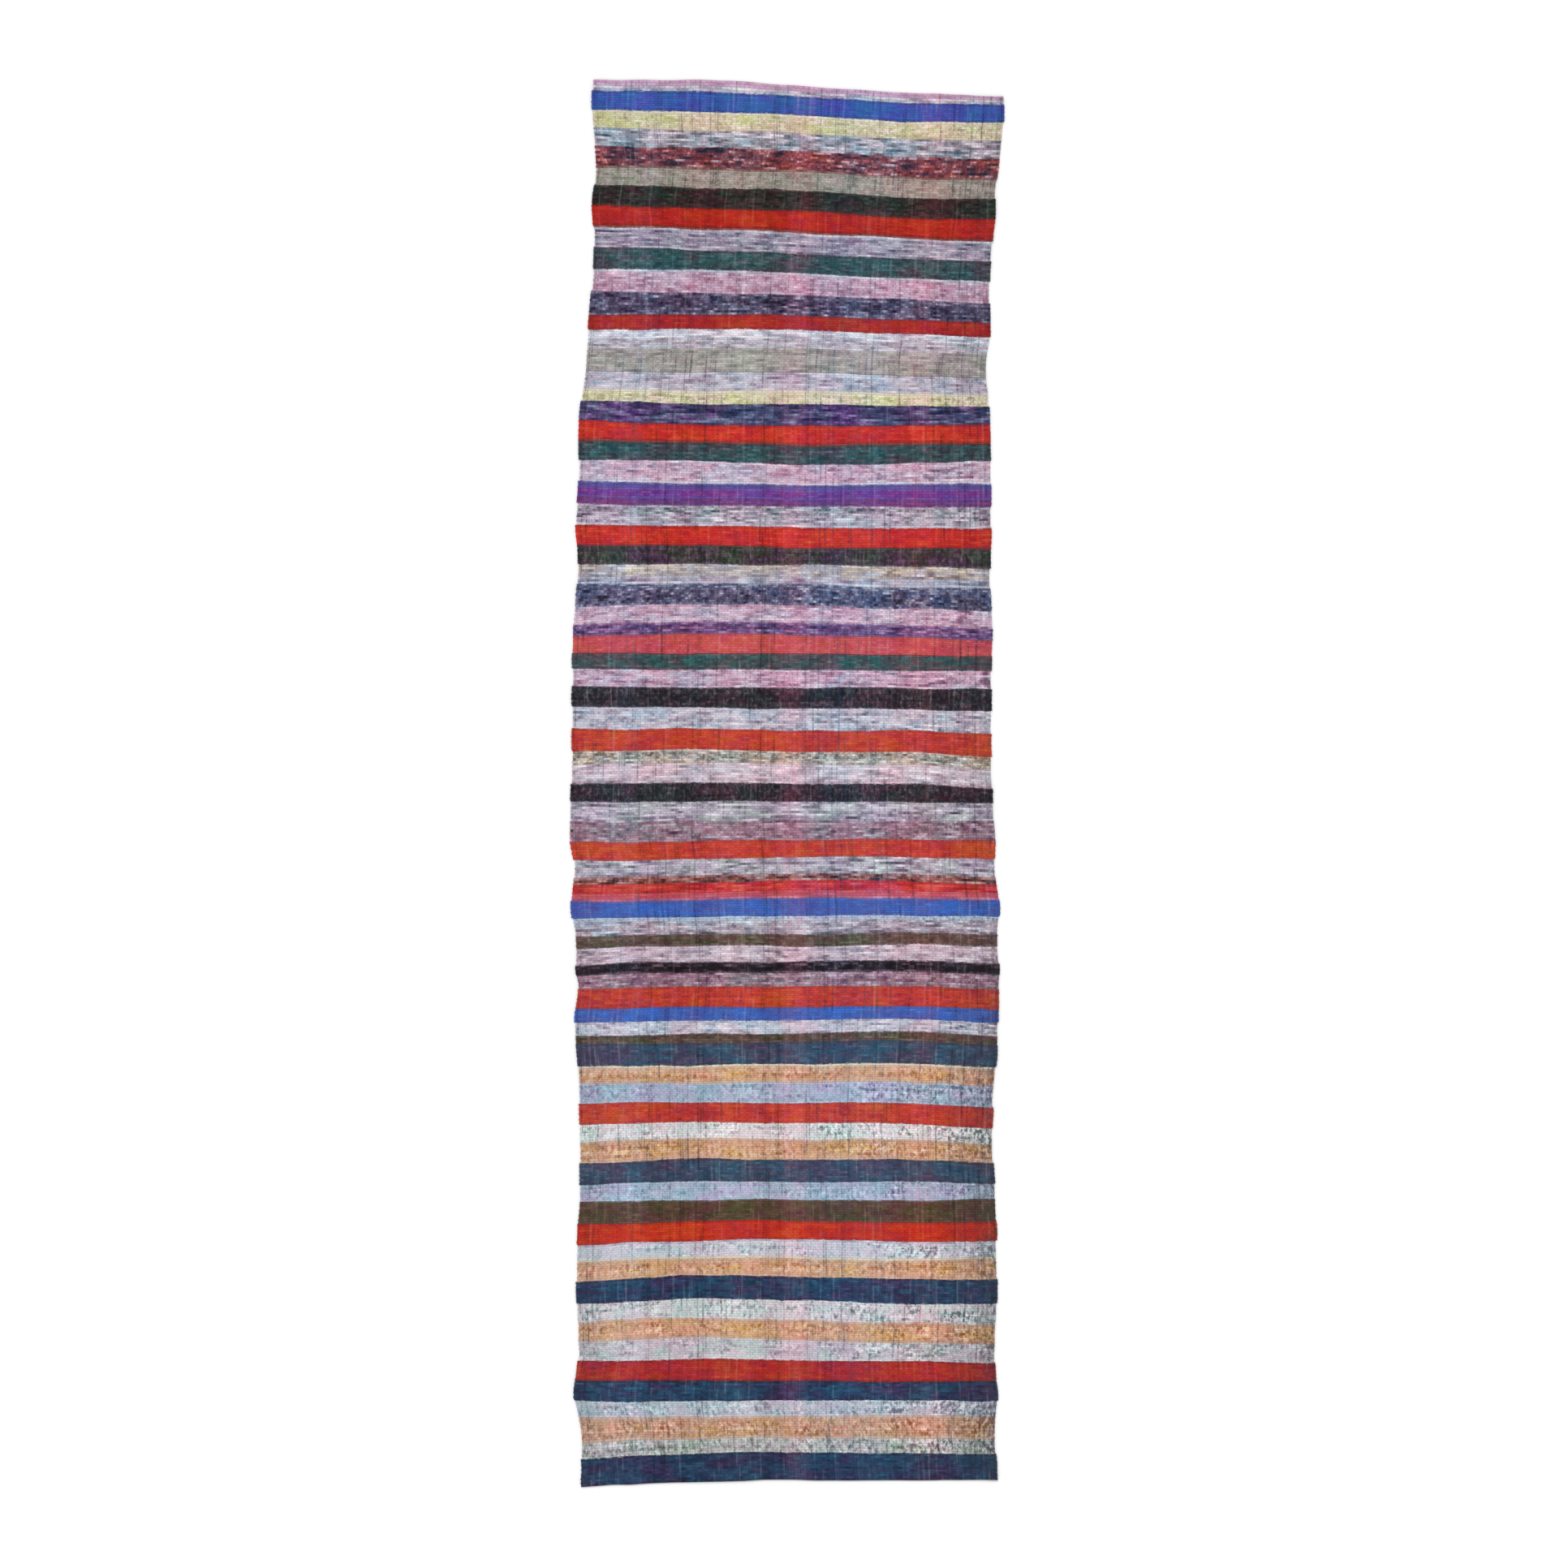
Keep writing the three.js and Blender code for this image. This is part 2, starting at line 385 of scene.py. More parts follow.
def chance(tree, first, second):
    """A number from 0 to 1 that is the same wherever both values are the same."""
    node = tree.nodes.new("ShaderNodeTexWhiteNoise")
    node.noise_dimensions = "2D"
    wire(tree, node.inputs["Vector"], point_of(tree, first, second))
    return node.outputs["Value"]


def blend(tree, amount, first, second, way="MIX"):
    """Two colours blended. Where one is taken away, no part of the result falls below zero."""
    node = tree.nodes.new("ShaderNodeMix")
    node.data_type = "RGBA"
    node.blend_type = way
    node.clamp_result = way == "SUBTRACT"
    wire(tree, node.inputs[0], amount)
    wire(tree, node.inputs[6], first)
    wire(tree, node.inputs[7], second)
    return node.outputs[2]


EYE = 2.2


def colour(code):
    """A colour from its six-figure code, spaced as the eye sees it, so that dyes mix as they should."""
    parts = [int(code[i : i + 2], 16) / 255 for i in (0, 2, 4)]
    light = [((p + 0.055) / 1.055) ** 2.4 if p > 0.04045 else p / 12.92 for p in parts]
    return [p ** (1 / EYE) for p in light] + [1.0]


def as_light(tree, seen):
    """A colour spaced for the eye, turned back into the light that the shader wants."""
    node = tree.nodes.new("ShaderNodeGamma")
    node.inputs["Gamma"].default_value = EYE
    wire(tree, node.inputs["Color"], seen)
    return node.outputs[0]


def ramp(tree, value, stops):
    """The colour and the strength at a value, between stops of place, colour and, if not full, strength."""
    node = tree.nodes.new("ShaderNodeValToRGB")
    elements = node.color_ramp.elements
    for i, (place, code, *strength) in enumerate(stops):
        element = elements[i] if i < 2 else elements.new(place)
        element.position = place
        element.color = colour(code)[:3] + (strength or [1.0])
    wire(tree, node.inputs[0], value)
    return node.outputs[0], node.outputs[1]


def across_ramp(tree, warps, stops):
    """A ramp over the width, with its places given in warps."""
    stops = [(place / WARP_COUNT, code, strength) for place, code, strength in stops]
    return ramp(tree, maths(tree, "DIVIDE", warps, float(WARP_COUNT)), stops)


def map_of(tree, name):
    """The two values of one of the cloth's maps."""
    uv = tree.nodes.new("ShaderNodeUVMap")
    uv.uv_map = name
    split = tree.nodes.new("ShaderNodeSeparateXYZ")
    tree.links.new(uv.outputs[0], split.inputs[0])
    return split.outputs[0], split.outputs[1]


FLOAT, COLOUR, VECTOR = "NodeSocketFloat", "NodeSocketColor", "NodeSocketVector"


def new_group(name, inputs, outputs):
    """A new group of nodes: its tree, the outputs of its input node, and its output node."""
    tree = bpy.data.node_groups.new(name, "ShaderNodeTree")
    for direction, sockets in (("INPUT", inputs), ("OUTPUT", outputs)):
        for socket_name, kind in sockets:
            tree.interface.new_socket(name=socket_name, in_out=direction, socket_type=kind)
    given = tree.nodes.new("NodeGroupInput").outputs if inputs else None
    return tree, given, tree.nodes.new("NodeGroupOutput")


def use_group(tree, group, **settings):
    """The outputs of a group, used with these settings."""
    node = tree.nodes.new("ShaderNodeGroup")
    node.node_tree = group
    for name, value in settings.items():
        wire(tree, node.inputs[name.replace("_", " ")], value)
    return node.outputs


def picks_and_warps():
    """Counts the picks and warps of the weave.
    A rag shows between two warps, and one warp further on at the next pick."""
    names = ["Warps", "Picks", "Pick", "Rib", "Brick", "From Warp", "Warp", "Thread And Shade", "Over"]
    tree, _, out = new_group("picks_and_warps", [], [(name, FLOAT) for name in names])
    across, picks = map_of(tree, "Weave")
    sway = noise(tree, across, 0.3, picks, 0.09)
    warps = scaled_onto(tree, centred(tree, sway), 0.7, across)

    # the rib is 1 along the middle of a pick and 0 at its edges
    pick = maths(tree, "FLOOR", picks)
    part = scaled_onto(tree, maths(tree, "FRACT", picks), 2.0, -1.0)
    rib = maths(tree, "SUBTRACT", 1.0, product(tree, part, part))

    # a brick is one showing of the rag, two warps wide
    bricks = product(tree, maths(tree, "ADD", warps, maths(tree, "MODULO", pick, 2.0)), 0.5)
    brick = maths(tree, "FLOOR", bricks)
    from_middle = maths(tree, "ABSOLUTE", centred(tree, maths(tree, "FRACT", bricks)))
    from_warp = maths(tree, "SUBTRACT", 0.5, from_middle)

    # a warp lies over every second pick, and shows a little where the next rag is pinched over it
    warp = maths(tree, "ROUND", warps)
    beside = maths(tree, "ABSOLUTE", maths(tree, "SUBTRACT", warps, warp))
    thread = eased(tree, beside, 0.1, 0.22, low=1.0, high=0.0)
    under = maths(tree, "MODULO", maths(tree, "ADD", warp, pick), 2.0)
    over = product(tree, thread, maths(tree, "SUBTRACT", 1.0, under), eased(tree, rib, 0.05, 0.4))
    shows = scaled_onto(tree, over, 0.22, scaled_onto(tree, thread, 0.1, 0.22))
    # a softer band a warp wide round each warp: with the dark warps it is painted shade of the groove where
    # the rags dip
    shows = scaled_onto(tree, eased(tree, beside, 0.1, 0.5, low=1.0, high=0.0), 0.46, shows)
    for name, value in zip(names, (warps, picks, pick, rib, brick, from_warp, warp, shows, over)):
        tree.links.new(value, out.inputs[name])
    return tree


def rag_tone(counts):
    """Where a rag is dark and where light: its streaks, upright dashes, clouds and fibres, and the
    chance of each showing. Gather is how far the flecks keep to patches, more of them on the right."""
    inputs = [("Fleck", FLOAT), ("Streak Length", FLOAT), ("Dash", FLOAT), ("Gather", FLOAT)]
    tree, given, out = new_group("rag_tone", inputs, [("Tone", FLOAT)])
    count = use_group(tree, counts)
    warps, picks, pick = count["Warps"], count["Picks"], count["Pick"]

    lengthwise = maths(tree, "DIVIDE", warps, given["Streak Length"])
    streak = noise(tree, lengthwise, 1.0, pick, 7.3, detail=3.0, roughness=0.6)
    dash = noise(tree, warps, 0.75, picks, 0.42, roughness=0.6)
    streak = scaled_onto(tree, maths(tree, "SUBTRACT", dash, streak), given["Dash"], streak)
    cloud = noise(tree, warps, 0.13, picks, 0.21)
    fibre = noise(tree, warps, 1.3, picks, 3.2, detail=3.0, roughness=0.6)
    each_brick = chance(tree, count["Brick"], pick)
    each_pick = chance(tree, pick, 3.7)
    total = 0.0
    for value, share in ((streak, 3.2), (cloud, 0.8), (each_brick, 0.28), (each_pick, 0.28), (fibre, 0.9)):
        total = scaled_onto(tree, centred(tree, value), share, total)

    patch = noise(tree, warps, 0.085, picks, 0.13)
    to_right = eased(tree, warps, 70.0, 150.0, low=0.8, high=1.5)
    patchy = product(tree, eased(tree, patch, 0.4, 0.62, low=0.35, high=1.6), to_right)
    patchy = scaled_onto(tree, maths(tree, "SUBTRACT", patchy, 1.0), given["Gather"], 1.0)
    tone = scaled_onto(tree, total, product(tree, patchy, given["Fleck"]), 0.5)
    tree.links.new(tone, out.inputs["Tone"])
    return tree


# The tints that cross all the stripes, from old dye and use: (warp, colour, strength).
WARP_ZONES = [
    (0, "90B0D8", 0.0), (13, "90B8E0", 0.03), (23, "A0C8F0", 0.05), (28, "201C1C", 0.03),
    (50, "181818", 0.03), (56, "D8E8C0", 0.02), (66, "D8E8C0", 0.02), (69, "30241C", 0.03),
    (77, "30181C", 0.05), (79.5, "FFA0B8", 0.07), (86, "FFA0B8", 0.07), (90, "6890C8", 0.03),
    (98, "4090D8", 0.04), (104, "4898E0", 0.04), (107, "98D8FF", 0.04), (116, "98D8FF", 0.04),
    (120, "98C8FF", 0.02), (123, "803848", 0.04), (128, "A04850", 0.04), (130, "FF8080", 0.05),
    (136, "FF8080", 0.05), (139, "603030", 0.03), (143, "302828", 0.02), (160, "302828", 0.0),
]

# The cloth darker towards the selvedges, most on the right: (warp, colour, share of the darkening).
SELVEDGE_DARKENING = [
    (0, "383840", 0.12), (8, "383840", 0.1), (12, "383840", 0.0), (139, "34343A", 0.0),
    (144, "34343A", 0.12), (152, "34343A", 0.16), (156, "34343A", 0.32), (160, "34343A", 0.42),
]

# The cotton warp threads, each its own; the dark ones also paint the shade of the grooves: (chance, colour,
# how plainly it shows).
WARP_THREADS = [
    (0.0, "16161C", 0.38), (0.1, "1E1C24", 0.31), (0.3, "3A3840", 0.19), (0.5, "6A6468", 0.06),
    (0.72, "A8A49C", 0.08), (0.9, "C8C4BC", 0.13), (1.0, "E0DCD4", 0.2),
]


def drifted_rag(tree, given, count):
    """The rag drifts in hue, mostly from side to side, and keeps its flecks."""
    slow = noise(tree, count["Warps"], 0.055, count["Picks"], 0.08, detail=4.0, roughness=0.6)
    fine = noise(tree, count["Warps"], 0.11, count["Pick"], 0.77)
    hue = scaled_onto(tree, centred(tree, fine), 0.7, slow)
    warm = product(tree, eased(tree, hue, 0.48, 0.7), given["Drift"])
    cool = product(tree, eased(tree, hue, 0.52, 0.3), given["Drift"])
    drifted = given["Rag"]
    for share, dye in ((warm, given["Warm"]), (cool, given["Cool"])):
        with_dye = blend(tree, share, drifted, dye, "ADD")
        drifted = blend(tree, share, with_dye, given["Middle"], "SUBTRACT")
    return drifted, slow


def specked_rag(tree, given, count, rag, slow):
    """Dark specks, which gather in patches and lie closer on the right."""
    mottle = noise(tree, count["Warps"], 0.8, count["Picks"], 0.5, detail=3.0, roughness=0.65)
    to_right = eased(tree, count["Warps"], 60.0, 150.0, low=0.6, high=1.5)
    gathered = product(tree, eased(tree, slow, 0.4, 0.6, low=1.3, high=0.35), to_right, given["Speck"])
    specks = product(tree, eased(tree, mottle, 0.58, 0.7), gathered)
    return blend(tree, specks, rag, given["Speck Colour"])


def bordered_rag(tree, given, count, rag):
    """A stripe's first and last picks have their own shade, and the next stripe bulges over the border."""
    after_first, before_last = map_of(tree, "Stripe")
    to_border = maths(tree, "MINIMUM", after_first, before_last)
    ragged = noise(tree, count["Warps"], 0.25, count["Pick"], 1.0, detail=3.0)
    border = scaled_onto(tree, ragged, 2.4, to_border)
    near = product(tree, eased(tree, border, 1.0, given["Edge Depth"], low=1.0, high=0.0), given["Edge"])
    edged = blend(tree, near, rag, given["Edge Colour"])

    beside = tree.nodes.new("ShaderNodeAttribute")
    beside.attribute_name = "Neighbour"
    bulge = noise(tree, count["Warps"], 0.42, count["Pick"], 3.1, detail=3.0, roughness=0.65)
    bulge = scaled_onto(tree, bulge, 1.1, -0.52)
    over_border = eased(tree, maths(tree, "SUBTRACT", bulge, to_border), -0.25, 0.25)
    return blend(tree, over_border, edged, beside.outputs["Color"])


def tinted_cloth_darker_at_edges(tree, count, cloth):
    """The tints across the stripes, and the cloth made darker towards the selvedges, most of all at the
    navy end.
    """
    warps, picks = count["Warps"], count["Picks"]
    tint, strength = across_ramp(tree, warps, WARP_ZONES)
    patches = noise(tree, warps, 0.9, picks, 0.055, roughness=0.6)
    stain = product(tree, strength, eased(tree, patches, 0.3, 0.7, low=0.1, high=1.7))
    stained = blend(tree, stain, cloth, tint)

    # the colour is darkened towards the selvedges, in patches, most on the right and towards the navy end
    edge_dark, darkening = across_ramp(tree, warps, SELVEDGE_DARKENING)
    darker_patches = noise(tree, warps, 0.7, picks, 0.38, detail=3.0, roughness=0.65)
    darker_patches = eased(tree, darker_patches, 0.38, 0.62, low=0.4, high=1.6)
    lower_end = eased(tree, picks, 330.0, 460.0, low=0.35, high=1.0)
    darkening = product(tree, lower_end, darker_patches, darkening)
    return blend(tree, darkening, stained, edge_dark), tint, strength


def laced_cloth(tree, given, count, cloth, tint, strength):
    """The warp threads over the rags, the dark ones with painted groove shade: most are faint, a few dark
    or pale, and the tints dye them too.
    """
    picks, warp = count["Picks"], count["Warp"]
    group = noise(tree, count["Warps"], 0.45, picks, 0.012)
    each_warp = scaled_onto(tree, chance(tree, warp, 11.3), 0.55, -0.425)
    each_warp = scaled_onto(tree, group, 1.3, each_warp)
    along_warp = centred(tree, noise(tree, warp, 0.9, picks, 0.06))
    thread, plain = ramp(tree, scaled_onto(tree, along_warp, 2.0, each_warp), WARP_THREADS)
    dyed = blend(tree, maths(tree, "MULTIPLY", strength, 6.0, clamp=True), thread, tint)
    fading = noise(tree, warp, 0.7, picks, 0.09)
    fading = eased(tree, fading, 0.33, 0.62, low=0.5, high=1.1)
    # the warp's colour over the rag, and in the dark warps' bands painted shade of the grooves
    shown = product(tree, plain, fading, count["Thread And Shade"], given["Warp Show"])
    return blend(tree, shown, cloth, dyed)


def shaded_cloth(tree, count, cloth):
    """The hollows between the picks and beside the warps are a little darker."""
    hollow = eased(tree, count["Rib"], 0.0, 0.55, low=0.16, high=0.0)
    pinch = eased(tree, count["From Warp"], 0.06, 0.2, low=0.05, high=0.0)
    light = maths(tree, "SUBTRACT", 1.0, maths(tree, "MAXIMUM", hollow, pinch))
    return blend(tree, 1.0, cloth, point_of(tree, light, light, light), "MULTIPLY")


def cloth_relief(tree, count):
    """The small folds of the rags, their pillows between the warps, and the warps over them."""
    fold = noise(tree, count["Warps"], 0.9, count["Picks"], 2.2, detail=3.0, roughness=0.55)
    height = scaled_onto(tree, fold, 0.5, eased(tree, count["From Warp"], 0.02, 0.3, low=0.0, high=0.55))
    height = scaled_onto(tree, count["Rib"], 0.25, height)
    height = scaled_onto(tree, count["Over"], 0.25, height)
    bump = tree.nodes.new("ShaderNodeBump")
    bump.inputs["Strength"].default_value = 0.8
    bump.inputs["Distance"].default_value = MM
    tree.links.new(height, bump.inputs["Height"])
    return bump.outputs[0], eased(tree, fold, 0.2, 0.8, low=0.84, high=1.0)


def rag_finish(counts):
    """Lays the rag's colour in the weave, step by step, and gives its roughness and its relief."""
    inputs = [
        ("Rag", COLOUR), ("Middle", COLOUR), ("Warm", COLOUR), ("Cool", COLOUR), ("Drift", FLOAT),
        ("Edge Colour", COLOUR), ("Edge", FLOAT), ("Edge Depth", FLOAT),
        ("Speck Colour", COLOUR), ("Speck", FLOAT), ("Warp Show", FLOAT),
    ]
    outputs = [("Colour", COLOUR), ("Roughness", FLOAT), ("Normal", VECTOR)]
    tree, given, out = new_group("rag_finish", inputs, outputs)
    count = use_group(tree, counts)
    drifted, slow = drifted_rag(tree, given, count)
    specked = specked_rag(tree, given, count, drifted, slow)
    bordered = bordered_rag(tree, given, count, specked)
    used, tint, strength = tinted_cloth_darker_at_edges(tree, count, bordered)
    laced = laced_cloth(tree, given, count, used, tint, strength)
    shaded = shaded_cloth(tree, count, laced)
    normal, roughness = cloth_relief(tree, count)
    tree.links.new(as_light(tree, shaded), out.inputs["Colour"])
    tree.links.new(normal, out.inputs["Normal"])
    tree.links.new(roughness, out.inputs["Roughness"])
    return tree


counts = picks_and_warps()
tone_group = rag_tone(counts)
finish_group = rag_finish(counts)
reach_of = {}
middle_tones = {}
rag_materials = {}


def rag(
    name, tones, fleck=0.3, streak=4.0, dash=0.0, gather=0.0, drift=None, edge=None, edge_depth=2.4,
    speck=None, warp_show=1.0, reach=EVEN,
):
    """One kind of rag: its tones from dark to light, how flecked it is, the length of its streaks in warps,
    its upright dashes, and how far its flecks gather in patches.

    drift is (warm colour, cool colour, amount), and edge and speck are (colour, amount). edge is the look
    of its first and last picks, and edge_depth is how many picks it fades over. reach is how far it stands
    out at the selvedges."""
    warm, cool, drifting = drift or (tones[-1], tones[0], 0.0)
    edge_code, edged = edge or (tones[0], 0.0)
    speck_code, specked = speck or (tones[0], 0.0)
    middle = colour(tones[len(tones) // 2])

    material = bpy.data.materials.new("rag_" + name)
    material.use_nodes = True
    tree = material.node_tree
    tone = use_group(tree, tone_group, Fleck=fleck, Streak_Length=streak, Dash=dash, Gather=gather)["Tone"]
    laid, _ = ramp(tree, tone, [(i / (len(tones) - 1), code) for i, code in enumerate(tones)])
    finish = use_group(
        tree, finish_group, Rag=laid, Middle=middle, Warm=colour(warm), Cool=colour(cool), Drift=drifting,
        Edge_Colour=colour(edge_code), Edge=edged, Edge_Depth=edge_depth, Speck_Colour=colour(speck_code),
        Speck=specked, Warp_Show=warp_show,
    )
    shader = tree.nodes["Principled BSDF"]
    tree.links.new(finish["Colour"], shader.inputs["Base Color"])
    tree.links.new(finish["Roughness"], shader.inputs["Roughness"])
    tree.links.new(finish["Normal"], shader.inputs["Normal"])
    shader.inputs["Specular IOR Level"].default_value = 0.1
    shader.inputs["Sheen Weight"].default_value = 0.03
    shader.inputs["Sheen Roughness"].default_value = 0.6
    reach_of[name] = reach
    middle_tones[name] = middle
    rag_materials[name] = material


# plain rags
rag("royal_blue", ["2A4090", "3454AA", "4068BE"],
    drift=("4844A8", "2C64A4", 0.72), edge=("2A2E60", 0.6), reach=FIRM)
rag("cornflower", ["324EA4", "3E5CAC", "4E70C4"],
    fleck=0.39, drift=("4A4E9C", "3468C8", 0.72), edge=("3C4884", 0.4), warp_show=1.1, reach=FIRM)
rag("scarlet", ["AE1A16", "CA2A23", "DE3E33"],
    fleck=0.48, drift=("D04420", "B02034", 0.58), edge=("7C1E20", 0.6), reach=FIRM)
rag("rust_red", ["A41A0E", "C02A18", "D03E2A"],
    fleck=0.32, drift=("C84818", "AC2630", 0.54), edge=("7C1E20", 0.6), warp_show=0.75, reach=FIRM)
rag("vermilion", ["A82A20", "C43A2C", "D44C3E"],
    fleck=0.49, drift=("C05020", "A82E3C", 0.63), edge=("882C2C", 0.5), reach=FIRM)
rag("crimson", ["921816", "AC2622", "BE3632"],
    fleck=0.46, drift=("A83A1E", "96203C", 0.63), edge=("641C20", 0.6), warp_show=0.85, reach=FIRM)
rag("deep_red", ["9E1610", "B42014", "C83026"],
    fleck=0.46, drift=("B43814", "A01A30", 0.54), edge=("501818", 0.6), warp_show=0.75, reach=FIRM)
rag("coral_red", ["B23C42", "C84C50", "DC7074"],
    fleck=0.44, drift=("C85C40", "B84058", 0.6), edge=("8C3C44", 0.5))
rag("rose_red", ["981C20", "C8282C", "DA4E52"],
    fleck=0.75, streak=12, drift=("C84430", "B42C50", 0.72), edge=("8C2A30", 0.5), warp_show=0.85,
    edge_depth=2.0)
rag("rose_pink", ["A83C4A", "C65262", "DA7A88"],
    fleck=0.6, streak=10, drift=("C85C58", "B4547C", 0.72), edge=("B84450", 0.3), edge_depth=5.0)
rag("rose_lilac", ["8E4860", "B4607C", "CE8CA0"],
    fleck=0.6, streak=10, drift=("BC6670", "A4609A", 0.6))
rag("clay", ["583634", "7C5652", "A07E7A"], fleck=0.7)
rag("brick", ["6C2A24", "84342C", "9C4438"], fleck=0.5, reach=FIRM)
rag("teal", ["1E3238", "324C50", "4E6C72"],
    fleck=0.65, drift=("4A3C4A", "205056", 0.72), edge=("3C303A", 0.6), reach=FIRM)
rag("slate_teal", ["2D353B", "3B474D", "586268"],
    fleck=0.66, drift=("5A464E", "245654", 0.96), edge=("4C4048", 0.5), warp_show=1.15, reach=FIRM)
rag("brown_black", ["120E0C", "261E1A", "403836"],
    fleck=0.65, drift=("402028", "1E3028", 0.8), edge=("3A2C2C", 0.5), speck=("5A504C", 0.3), reach=FIRM)
rag("black", ["0E0C12", "24202A", "5A505A"],
    fleck=0.65, drift=("42222E", "222C2E", 0.7), edge=("48404A", 0.5), dash=0.7, reach=FIRM, warp_show=1.25)
rag("ink_black", ["0A060A", "1C141C", "5E505C"],
    fleck=0.7, streak=5, drift=("301C28", "1C2028", 0.6), edge=("5E545E", 0.6), reach=FIRM)
rag("olive_black", ["1E1C1A", "36302E", "5C5254"],
    fleck=0.72, drift=("48284A", "26382C", 0.7), edge=("504858", 0.5), dash=0.7, streak=3, reach=FIRM,
    warp_show=1.25)
rag("olive_brown", ["3A2C1E", "543E2E", "6C5646"],
    fleck=0.45, drift=("60343A", "444426", 0.66), edge=("5C4C48", 0.5))
rag("umber", ["3A2C26", "56443C", "74625C"],
    fleck=0.61, drift=("64423E", "4A5034", 0.66), edge=("5C5054", 0.5))
rag("violet", ["52267A", "72348C", "8450A0"],
    fleck=0.5, drift=("84327E", "5C409C", 0.5), edge=("565CA4", 0.7), reach=FIRM)
rag("indigo", ["3C2C6C", "584284", "6E589C"],
    fleck=0.5, drift=("6A3A80", "48489C", 0.6), edge=("5658A0", 0.6), edge_depth=3.5, reach=FIRM)
rag("purple", ["4E245E", "6C3C7C", "845494"],
    fleck=0.5, drift=("803070", "5A4088", 0.6), edge=("602C68", 0.4), edge_depth=3.5, reach=FIRM)
rag("plum", ["3A2048", "6A4678", "AC86B0"],
    fleck=0.72, streak=5, drift=("80487A", "525088", 0.48), edge=("80689A", 0.5))
rag("navy", ["16223A", "223656", "344C6E"],
    fleck=0.56, drift=("3C2850", "1C4A66", 0.72), edge=("1A1C2C", 0.6), warp_show=1.15, reach=FIRM)
rag("deep_navy", ["121C34", "1E304E", "2E4464"],
    fleck=0.56, drift=("36244A", "1C4460", 0.72), edge=("1A1C2C", 0.6), warp_show=1.15, reach=FIRM)
rag("slate_navy", ["28354A", "36445C", "4E5D72"],
    fleck=0.56, drift=("483856", "28526E", 0.72), edge=("30303A", 0.5), warp_show=1.15, reach=FIRM)
rag("denim", ["363C5C", "5A6180", "989EB4"], fleck=0.9)

# pale rags
rag("rose", ["A07897", "C098B7", "D8BCD5"], fleck=0.4, streak=7, reach=SLACK)
rag("cream", ["BCB098", "D6CAB4", "E8DECC"], fleck=0.5, warp_show=0.7, reach=SLACK)
rag("lilac_white", ["9894A8", "BEBACA", "DCD8E4"],
    fleck=0.77, streak=9, dash=0.1, drift=("CCBCC8", "B4BED0", 0.75), warp_show=0.7, reach=SLACK)
rag("pearl_white", ["A6A2B4", "DCDAE6", "F8F6FE"],
    fleck=0.9, streak=11, dash=0.1, drift=("E0D0DA", "CAD4E0", 0.75), warp_show=0.7, reach=SLACK)
rag("pale_yellow", ["A09474", "CCC2A0", "ECE6D6"],
    fleck=0.75, dash=0.4, drift=("E0C8B0", "C8CA8C", 0.9), edge=("C8C0A8", 0.3), gather=0.4,
    reach=SLACK)
rag("butter", ["A69C7C", "D6CEB0", "F2ECDC"],
    fleck=0.83, streak=5, dash=0.4, drift=("E0C8B4", "D0D098", 0.9), edge=("C8C0A8", 0.3), gather=0.4,
    reach=SLACK)
rag("taupe", ["62564F", "9C938C", "C2B8B4"],
    fleck=0.52, streak=5, dash=0.4, drift=("B0948C", "8E9682", 0.6), edge=("A89890", 0.3), reach=SLACK)
rag("greige", ["6C6866", "A49E9A", "C6C2C0"],
    fleck=0.55, streak=8, dash=0.2, drift=("AC9AA2", "9EA49A", 0.5), reach=SLACK)
rag("pink_white", ["7E6C76", "C8B4C2", "F4E8F0"],
    fleck=0.58, streak=7.5, dash=0.15, drift=("D8B4C2", "C2C2D0", 0.75), gather=0.3, reach=SLACK)
rag("pale_blue", ["5C6C84", "A8B3C8", "CEDCEE"],
    fleck=0.47, streak=5, dash=0.65, drift=("B4A8CC", "98B8CA", 0.75), speck=("4C5874", 0.35),
    warp_show=0.8, gather=0.8, edge=("B8C2D6", 0.4), reach=SLACK)
rag("sky_white", ["68727E", "C8C8D2", "EEF2F8"],
    fleck=0.48, streak=5, dash=0.65, drift=("CEC0D0", "B4CED4", 0.75), speck=("50606C", 0.45),
    warp_show=0.8, gather=1.0, edge=("D2CCD4", 0.5), reach=SLACK)
rag("grey_fleck", ["667080", "B6BCC8", "EAEEF6"],
    fleck=0.53, streak=5, dash=0.65, drift=("C0B2C2", "A6C0C8", 0.75), speck=("48545E", 0.5), warp_show=0.8,
    gather=0.9, edge=("C8CCD6", 0.5), reach=SLACK)
rag("white_fleck", ["747474", "DAD7DB", "FEFEFE"],
    fleck=0.55, dash=0.8, drift=("E0CED4", "C8DCD4", 0.75), speck=("64646A", 0.55), gather=1.0,
    edge=("DEDCE0", 0.5), reach=SLACK)
rag("pearl_fleck", ["6C6C76", "D1CDD2", "F6F6F8"],
    fleck=0.45, dash=0.75, drift=("D6C2CC", "B8D0CC", 0.75), speck=("5C5C64", 0.55), gather=1.0,
    edge=("D2D0D6", 0.5), reach=SLACK)
rag("sage_fleck", ["545858", "B4B6B6", "ECEEEC"],
    fleck=0.56, dash=0.75, drift=("B6A8AE", "A2B4A6", 0.75), speck=("444C4C", 0.6), gather=0.6,
    edge=("C4C8C6", 0.3), reach=SLACK)
rag("peach", ["8C5634", "CEA07E", "F0D2BA"],
    fleck=0.62, streak=3.5, dash=0.7, drift=("E09A80", "D8A45C", 0.6), edge=("C6A492", 0.6), edge_depth=4.6,
    speck=("844A2C", 0.5), warp_show=1.1, gather=0.6, reach=SLACK)
rag("dusky_peach", ["80502E", "BE967E", "E8CAB8"],
    fleck=0.75, streak=3.5, dash=0.7, drift=("D49078", "CA9C5C", 0.6), edge=("C0A496", 0.6), edge_depth=4.6,
    speck=("784630", 0.55), warp_show=1.1, gather=0.6, reach=SLACK)

